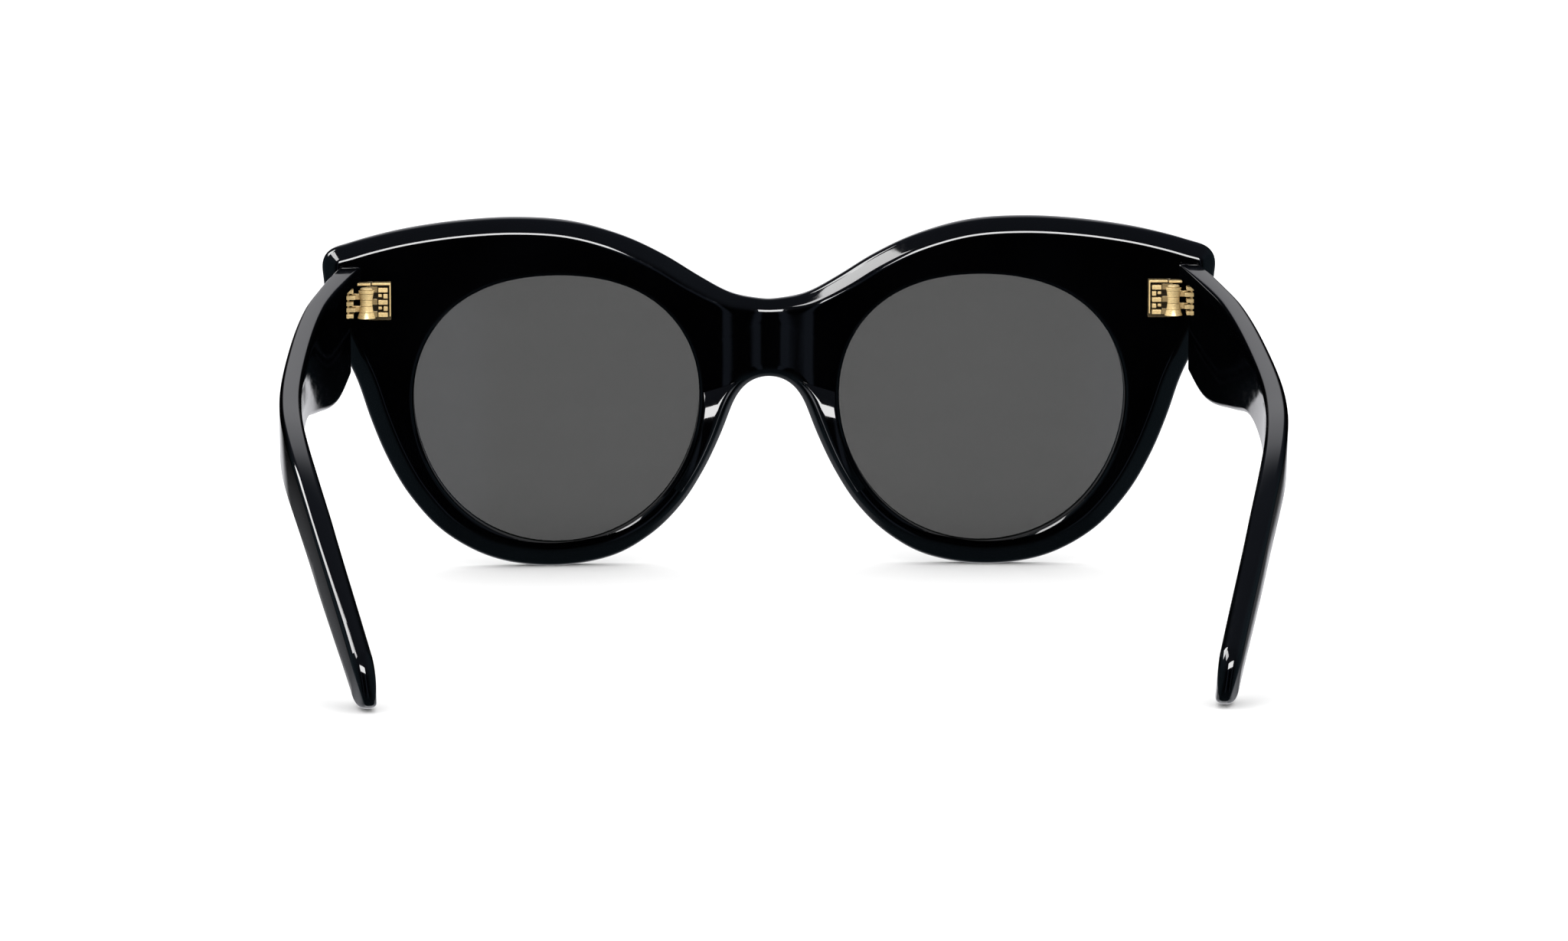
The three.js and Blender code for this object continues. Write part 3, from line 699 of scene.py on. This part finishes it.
def temple_plate_outline():
    """The temple leaf's plate in plan. It lies just under the temple's inner side."""
    y = HINGE_AXIS[1] + TEMPLE_PLATE_START + TEMPLE_PLATE_LENGTH / 2
    x, normal = outer_side(y)
    along = np.array([-normal[1], normal[0], 0])
    depth = TEMPLE_THICKNESS - TEMPLE_PLATE_SUNK + TEMPLE_PLATE_THICKNESS / 2
    middle = np.array([x, y, HINGE_AXIS[2]]) - normal * depth
    corners = []
    for a, b in ((1, 1), (-1, 1), (-1, -1), (1, -1)):
        corner = middle + normal * a * TEMPLE_PLATE_THICKNESS / 2 + along * b * TEMPLE_PLATE_LENGTH / 2
        corners.append((corner[0] - HINGE_AXIS[0], corner[1] - HINGE_AXIS[1]))
    return corners


def temple_leaf_shape():
    """Plate sunk in the temple, two barrels, a block beside each row and a spine behind the blocks."""
    shape = Shape()
    for row in TEMPLE_BARREL_ROWS:
        shape.add(barrel(row, TEMPLE_WEB))
    for row in range(BARREL_ROWS):
        reach = TEMPLE_BLOCK_REACH[row % 2]
        shape.add(slab((reach, TEMPLE_BLOCK_X), TEMPLE_BLOCK_Y, row_span(row, TEMPLE_BLOCK_GAP)))
    shape.add(slab(*TEMPLE_SPINE))
    shape.add(prism(temple_plate_outline(), -TEMPLE_PLATE_HALF, TEMPLE_PLATE_HALF))
    return shape


def screw_shape():
    """A screw down through the barrels, with a flat head that has a round dimple."""
    bottom = SCREW_SHORT - BARREL_ROWS / 2 * BARREL_PITCH
    head = [(radius, COLUMN_TOP + z) for radius, z in SCREW_HEAD]
    return turned([(SCREW_RADIUS, bottom)] + head)


# ---- Materials ---------------------------------------------------------------------------------------

def new_material(name):
    material = bpy.data.materials.new(name)
    material.use_nodes = True
    nodes, links = material.node_tree.nodes, material.node_tree.links
    shader = nodes["Principled BSDF"]
    return material, nodes, links, shader


def object_noise(nodes, links, scale, detail, stretch=(1, 1, 1)):
    """Noise in the object's own coordinates, in features of 1 / scale metres."""
    coordinate = nodes.new("ShaderNodeTexCoord")
    mapping = nodes.new("ShaderNodeMapping")
    mapping.inputs["Scale"].default_value = stretch
    noise = nodes.new("ShaderNodeTexNoise")
    noise.inputs["Scale"].default_value = scale
    noise.inputs["Detail"].default_value = detail
    links.new(coordinate.outputs["Object"], mapping.inputs["Vector"])
    links.new(mapping.outputs["Vector"], noise.inputs["Vector"])
    return noise.outputs["Fac"]


def ramp_node(nodes, links, source, low, high):
    """Noise turned into a value or colour between low and high, steepest round the noise's middle."""
    node = nodes.new("ShaderNodeValToRGB")
    node.color_ramp.elements[0].position = 0.35
    node.color_ramp.elements[1].position = 0.65
    for element, value in zip(node.color_ramp.elements, (low, high)):
        colour = value if isinstance(value, tuple) else (value, value, value)
        element.color = (*colour, 1)
    links.new(source, node.inputs["Fac"])
    return node.outputs["Color"]


def bump(nodes, links, shader, height, strength, distance):
    """Bumps from a height, with the distance in metres."""
    node = nodes.new("ShaderNodeBump")
    node.inputs["Strength"].default_value = strength
    node.inputs["Distance"].default_value = distance
    links.new(height, node.inputs["Height"])
    links.new(node.outputs["Normal"], shader.inputs["Normal"])


def scaled(nodes, links, colour, factor):
    """A colour, given or from a node, times a factor from a node."""
    node = nodes.new("ShaderNodeVectorMath")
    node.operation = "SCALE"
    if isinstance(colour, tuple):
        node.inputs[0].default_value = colour
    else:
        links.new(colour, node.inputs[0])
    links.new(factor, node.inputs["Scale"])
    return node.outputs["Vector"]


def acetate_material():
    """Polished black acetate: a faint cloud in the sheet, soft polishing marks and a slow ripple."""
    material, nodes, links, shader = new_material("black_acetate")
    cloud = object_noise(nodes, links, 60, 4)
    links.new(ramp_node(nodes, links, cloud, (0.0002, 0.0002, 0.0003), (0.0005, 0.00055, 0.0008)),
              shader.inputs["Base Color"])
    marks = object_noise(nodes, links, 900, 3, (1, 0.25, 1))
    links.new(ramp_node(nodes, links, marks, 0.035, 0.075), shader.inputs["Roughness"])
    ripple = object_noise(nodes, links, 120, 1)
    bump(nodes, links, shader, ripple, 0.05, 0.0002)
    shader.inputs["IOR"].default_value = 1.48
    return material


def lens_material():
    """Grey tinted lens, evenly see-through, with the faintest of clouds and wiping marks."""
    material, nodes, links, shader = new_material("grey_lens")
    cloud = object_noise(nodes, links, 40, 2)
    links.new(ramp_node(nodes, links, cloud, (0.0045, 0.0052, 0.0048), (0.0055, 0.0062, 0.0058)),
              shader.inputs["Base Color"])
    marks = object_noise(nodes, links, 700, 2)
    links.new(ramp_node(nodes, links, marks, 0.01, 0.03), shader.inputs["Roughness"])
    shader.inputs["IOR"].default_value = 1.5
    shader.inputs["Alpha"].default_value = 0.748
    return material


def painted_shade_share(nodes, links):
    """1 on the hinge's outer parts, falling to a painted shade deep down towards the front, where its
    recesses are.
    """
    coordinate = nodes.new("ShaderNodeTexCoord")
    split = nodes.new("ShaderNodeSeparateXYZ")
    links.new(coordinate.outputs["Object"], split.inputs["Vector"])
    depth = nodes.new("ShaderNodeMapRange")
    shaded_y, unshaded_y = [(HINGE_AXIS[1] + Y_SHIFT + y) * MM for y in PAINTED_SHADE_Y]
    depth.inputs["From Min"].default_value = shaded_y
    depth.inputs["From Max"].default_value = unshaded_y
    depth.inputs["To Min"].default_value = PAINTED_SHADE_DARKEST
    links.new(split.outputs["Y"], depth.inputs["Value"])
    return depth.outputs["Result"]


def gold_material(name, colour, rough):
    """Satin gold plate with fine milling lines, darker tarnish in patches and painted shade deep in the
    hinge.
    """
    material, nodes, links, shader = new_material(name)
    shader.inputs["Metallic"].default_value = 0.25
    patches = object_noise(nodes, links, 500, 4)
    tarnished = tuple(c * TARNISH_SHADE for c in colour)
    plated = ramp_node(nodes, links, patches, tarnished, colour)
    # The base colour is darkened by painted shade deep in the hinge.
    shade = scaled(nodes, links, plated, painted_shade_share(nodes, links))
    links.new(shade, shader.inputs["Base Color"])
    lines = object_noise(nodes, links, 2500, 3, (1, 1, 6))
    links.new(ramp_node(nodes, links, lines, rough * 0.7, rough * 1.3), shader.inputs["Roughness"])
    bump(nodes, links, shader, lines, 0.15, 0.00005)
    return material


def wire_material():
    """Drawn nickel silver wire."""
    material, nodes, links, shader = new_material("drawn_wire")
    shader.inputs["Metallic"].default_value = 1.0
    lines = object_noise(nodes, links, 3000, 2, (1, 0.05, 1))
    links.new(ramp_node(nodes, links, lines, (0.55, 0.53, 0.48), (0.75, 0.73, 0.68)),
              shader.inputs["Base Color"])
    links.new(ramp_node(nodes, links, lines, 0.25, 0.4), shader.inputs["Roughness"])
    return material


# ---- Studio, in metres unless it says otherwise ------------------------------------------------------

FLOOR_REACH = 4.0
FLOOR_GAP = 0.02                                # millimetres under the glasses
TENT_RADIUS = 3.9
TENT_STRENGTH = 1.6
LIGHT_DISTANCE = 1.2
LIGHT_TARGET = Vector((0, 0, 0.03))
FOCAL_LENGTH = 174.5                            # millimetres
CAMERA_PLACE = Vector((37.1, 1250.4, 195.0))    # millimetres, in the part's own axes
CAMERA_TARGET = Vector((-2.4, 0, 16.2))


def make_floor():
    """A plain pale floor, which isn't mirrored in the glasses."""
    mesh = bpy.data.meshes.new("floor")
    r = FLOOR_REACH
    mesh.from_pydata([(-r, -r, 0), (r, -r, 0), (r, r, 0), (-r, r, 0)], [], [(0, 1, 2, 3)])
    floor = bpy.data.objects.new("floor", mesh)
    floor.location.z = -FLOOR_GAP * MM
    bpy.context.scene.collection.objects.link(floor)
    material, nodes, links, shader = new_material("pale_floor")
    grain = object_noise(nodes, links, 30, 3)
    links.new(ramp_node(nodes, links, grain, (0.90, 0.90, 0.90), (0.92, 0.92, 0.92)),
              shader.inputs["Base Color"])
    shader.inputs["Roughness"].default_value = 0.9
    shader.inputs["Specular IOR Level"].default_value = 0.0
    mesh.materials.append(material)
    floor.visible_glossy = False


def make_dome():
    """A white tent round everything. It lights the floor and is the background from every side."""
    bpy.ops.mesh.primitive_uv_sphere_add(segments=48, ring_count=24, radius=TENT_RADIUS)
    dome = bpy.context.object
    dome.name = "tent"
    material = bpy.data.materials.new("white_tent")
    material.use_nodes = True
    nodes = material.node_tree.nodes
    nodes.clear()
    emission = nodes.new("ShaderNodeEmission")
    emission.inputs["Color"].default_value = (1, 1, 1, 1)
    emission.inputs["Strength"].default_value = TENT_STRENGTH
    output = nodes.new("ShaderNodeOutputMaterial")
    material.node_tree.links.new(emission.outputs["Emission"], output.inputs["Surface"])
    dome.data.materials.append(material)
    dome.visible_glossy = False


def toward(nodes, links, source, start, end, colour):
    """A colour in the directions where the source is past end, and black where it is short of start."""
    span = nodes.new("ShaderNodeMapRange")
    span.interpolation_type = "SMOOTHSTEP"
    span.inputs["From Min"].default_value = start
    span.inputs["From Max"].default_value = end
    links.new(source, span.inputs["Value"])
    return scaled(nodes, links, colour, span.outputs["Result"])


def combine(nodes, links, operation, first, second):
    node = nodes.new("ShaderNodeVectorMath")
    node.operation = operation
    links.new(first, node.inputs[0])
    links.new(second, node.inputs[1])
    return node.outputs["Vector"]


def make_room():
    """What the glasses mirror: a dim room with a white wall in front of them and a lit table below it.

    Directions run from -1 to 1 on each axis, with the glasses' front towards -Y.
    """
    world = bpy.data.worlds.new("room")
    bpy.context.scene.world = world
    world.use_nodes = True
    nodes, links = world.node_tree.nodes, world.node_tree.links
    coordinate = nodes.new("ShaderNodeTexCoord")
    split = nodes.new("ShaderNodeSeparateXYZ")
    links.new(coordinate.outputs["Generated"], split.inputs["Vector"])
    sideways = nodes.new("ShaderNodeMath")
    sideways.operation = "ABSOLUTE"
    links.new(split.outputs["X"], sideways.inputs[0])
    across, y, z = sideways.outputs["Value"], split.outputs["Y"], split.outputs["Z"]

    def part(source, start, end, colour=(1, 1, 1)):
        return toward(nodes, links, source, start, end, colour)

    def mix(operation, first, second):
        return combine(nodes, links, operation, first, second)

    wall = mix("MULTIPLY", part(y, -0.45, -0.75, (0.74, 0.74, 0.77)), part(across, 0.25, 0.13))
    table = mix("MULTIPLY", part(z, -0.12, -0.35, (0.42, 0.43, 0.46)), part(y, -0.3, -0.8))
    ceiling = part(z, 0.3, 0.9, (0.10, 0.115, 0.15))
    sides = part(across, 0.45, 0.95, (0.08, 0.12, 0.15))
    ground = part(z, -0.45, -0.9, (0.04, 0.06, 0.075))
    strips = mix("MULTIPLY", part(across, 0.2, 0.27, (0.13, 0.16, 0.22)), part(across, 0.42, 0.34))
    behind = mix("MULTIPLY", strips, part(y, 0.5, 0.8))
    surroundings = mix("ADD", mix("ADD", sides, ground), mix("ADD", ceiling, behind))
    total = mix("ADD", mix("MAXIMUM", wall, table), surroundings)
    links.new(total, nodes["Background"].inputs["Color"])
    nodes["Background"].inputs["Strength"].default_value = 1.0


def softbox(name, at, size, power):
    """A soft light aimed at the glasses. It only gives highlights, since the tent does the lighting."""
    light = bpy.data.lights.new(name, "AREA")
    light.shape = "RECTANGLE"
    light.size, light.size_y = size
    light.energy = power
    obj = bpy.data.objects.new(name, light)
    bpy.context.scene.collection.objects.link(obj)
    obj.location = at
    obj.rotation_euler = (Vector(at) - LIGHT_TARGET).to_track_quat("Z", "Y").to_euler()
    obj.visible_diffuse = False


def around(azimuth, elevation):
    """A light's place round the glasses. Azimuth 0 is straight behind them, on +Y, and 90 is on +X."""
    a, e = math.radians(azimuth), math.radians(elevation)
    return (LIGHT_DISTANCE * math.sin(a) * math.cos(e), LIGHT_DISTANCE * math.cos(a) * math.cos(e),
            LIGHT_DISTANCE * math.sin(e))


def make_lights():
    softbox("over_camera", around(0, 41.5), (0.85, 0.35), 19)
    softbox("over_side", around(80, 57), (0.5, 0.3), 6)
    softbox("front_side", around(117, 46), (0.45, 0.5), 9)


def make_camera():
    camera = bpy.data.objects.new("camera", bpy.data.cameras.new("camera"))
    bpy.context.scene.collection.objects.link(camera)
    bpy.context.scene.camera = camera
    camera.data.sensor_width = 36.0
    camera.data.lens = FOCAL_LENGTH
    camera.data.clip_start, camera.data.clip_end = 0.05, 20
    shift = Vector((0, Y_SHIFT, 0))
    camera.location = (CAMERA_PLACE + shift) * MM
    target = (CAMERA_TARGET + shift) * MM
    camera.rotation_euler = (camera.location - target).to_track_quat("Z", "Y").to_euler()


# ---- Assembly ----------------------------------------------------------------------------------------

acetate = acetate_material()
front_bodies = ("front", "front")
temple_bodies = ("left_temple", "right_temple")

dress(make_object("front_shell", front_shape(), 50), "front", "acetate", acetate, "front_frame")
pair("pad", pad_shape(), front_bodies, "acetate", acetate, "nose_pad")
pair("lens_disc", lens_shape(), front_bodies, "lens", lens_material(), "lens")
pair("temple_arm", temple_shape(), temple_bodies, "acetate", acetate, "temple", 50)

gold = gold_material("gold_plate", (1.0, 0.74, 0.35), 0.3)
screw_gold = gold_material("gold_screw", (0.86, 0.66, 0.34), 0.28)
pair("front_leaf", front_leaf_shape(), front_bodies, "hinge", gold, "front_hinge_leaf",
     30, hinge_finish)
pair("temple_leaf", temple_leaf_shape(), temple_bodies, "hinge", gold, "temple_hinge_leaf",
     30, hinge_finish)
pair("screw", screw_shape(), front_bodies, "screw", screw_gold, "hinge_screw",
     30, hinge_finish)

wire = wire_material()
for side in ("left", "right"):
    node = frame["nodes"][f"core_wire_{side}"]
    node.data.materials.clear()
    node.data.materials.append(wire)

make_floor()
make_dome()
make_room()
make_lights()
make_camera()
bpy.context.scene.view_settings.view_transform = "Standard"
